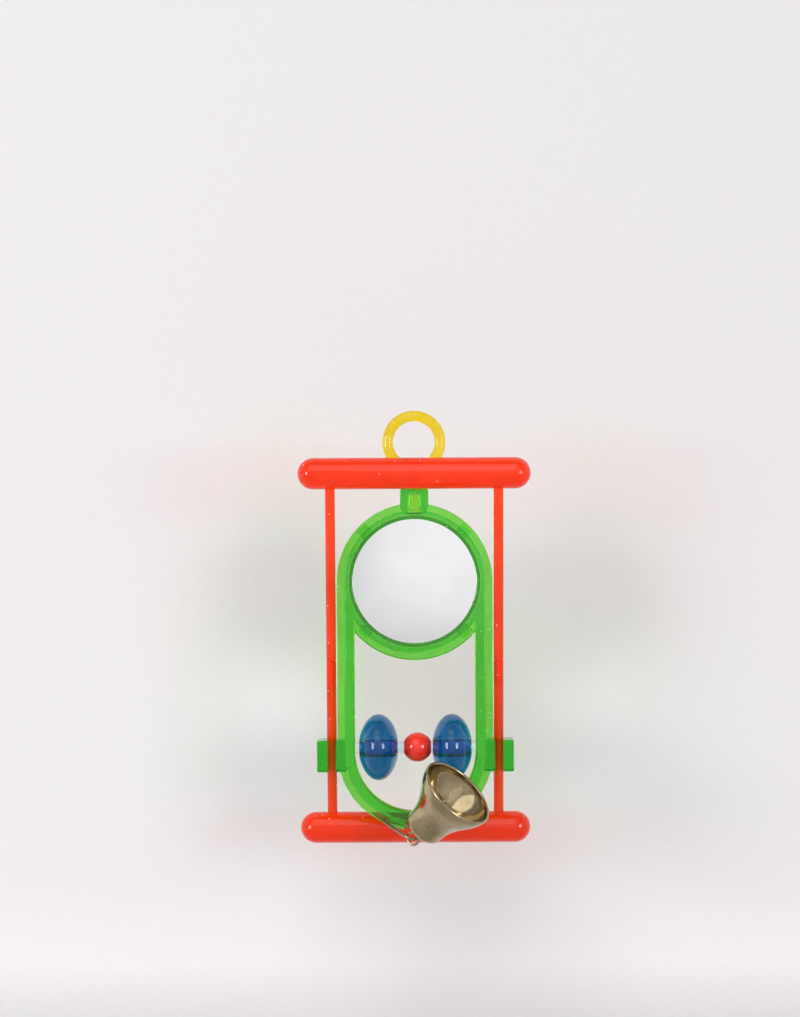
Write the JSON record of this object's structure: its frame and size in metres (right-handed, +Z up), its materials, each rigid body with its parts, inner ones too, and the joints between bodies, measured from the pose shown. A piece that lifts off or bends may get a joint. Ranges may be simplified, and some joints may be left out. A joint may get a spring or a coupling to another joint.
{
  "type": "bird mirror with bell",
  "caption": "Hanging cage toy: a round mirror and spinning beads in a clear green loop on a swivel hook, clipped to a clear red perch frame, with a small brass bell on a wire link.",
  "frame": {"origin": "inside top of the hook's eye, where a cage wire carries the toy", "axes": "+Z up along the hook's stem; the mirror faces -Y; X along the perch bars, right in the picture is +X"},
  "size_m": [0.0654, 0.0402, 0.1231],
  "materials": {
    "hook": "clear tinted gloss",
    "loop": "clear tinted gloss",
    "mirror": "polished",
    "cover": "clear tinted gloss",
    "axle": "clear gloss",
    "bead": "clear tinted gloss",
    "ball": "gloss",
    "frame": "clear tinted gloss",
    "wire": "polished",
    "bell": "polished"
  },
  "bodies": {
    "hook": {"hanger_hook": "hook"},
    "mirror_unit": {"mirror_loop": "loop", "mirror_glass": "mirror", "mirror_cover": "cover", "bead_axle": "axle", "upper_half_frame": "frame", "lower_half_frame": "frame"},
    "left_bead_body": {"left_bead": "bead"},
    "centre_ball_body": {"centre_ball": "ball"},
    "right_bead_body": {"right_bead": "bead"},
    "link": {"bell_link": "wire"},
    "bell": {"bell_shell": "bell", "bell_eye": "wire"},
    "clapper": {"bell_clapper": "wire"}
  },
  "joints": [
    {"name": "hook_swivel", "type": "hinge", "parent": "hook", "child": "mirror_unit", "pos_m": [0, 0, -0.01882], "axis": [0, 0, 1], "range_deg": [-10, 10]},
    {"name": "left_bead_spin", "type": "hinge", "parent": "mirror_unit", "child": "left_bead_body", "pos_m": [-0.01041, 0, -0.09212], "axis": [1, 0, 0], "continuous": true},
    {"name": "centre_ball_spin", "type": "hinge", "parent": "mirror_unit", "child": "centre_ball_body", "pos_m": [0.0006, 0, -0.09212], "axis": [1, 0, 0], "continuous": true},
    {"name": "right_bead_spin", "type": "hinge", "parent": "mirror_unit", "child": "right_bead_body", "pos_m": [0.01041, 0, -0.09212], "axis": [1, 0, 0], "continuous": true},
    {"name": "link_swing", "type": "hinge", "parent": "mirror_unit", "child": "link", "pos_m": [-0.00538, -0.00195, -0.11331], "axis": [0.9659, 0, -0.2588], "range_deg": [0, 45]},
    {"name": "bell_swing", "type": "hinge", "parent": "link", "child": "bell", "pos_m": [-0.00076, -0.0099, -0.11683], "axis": [0.5412, 0.8409, 0], "range_deg": [0, 145]},
    {"name": "clapper_swing", "type": "hinge", "parent": "bell", "child": "clapper", "pos_m": [0.00268, -0.01211, -0.11308], "axis": [0.5412, 0.8409, 0], "range_deg": [-22, 22]}
  ]
}
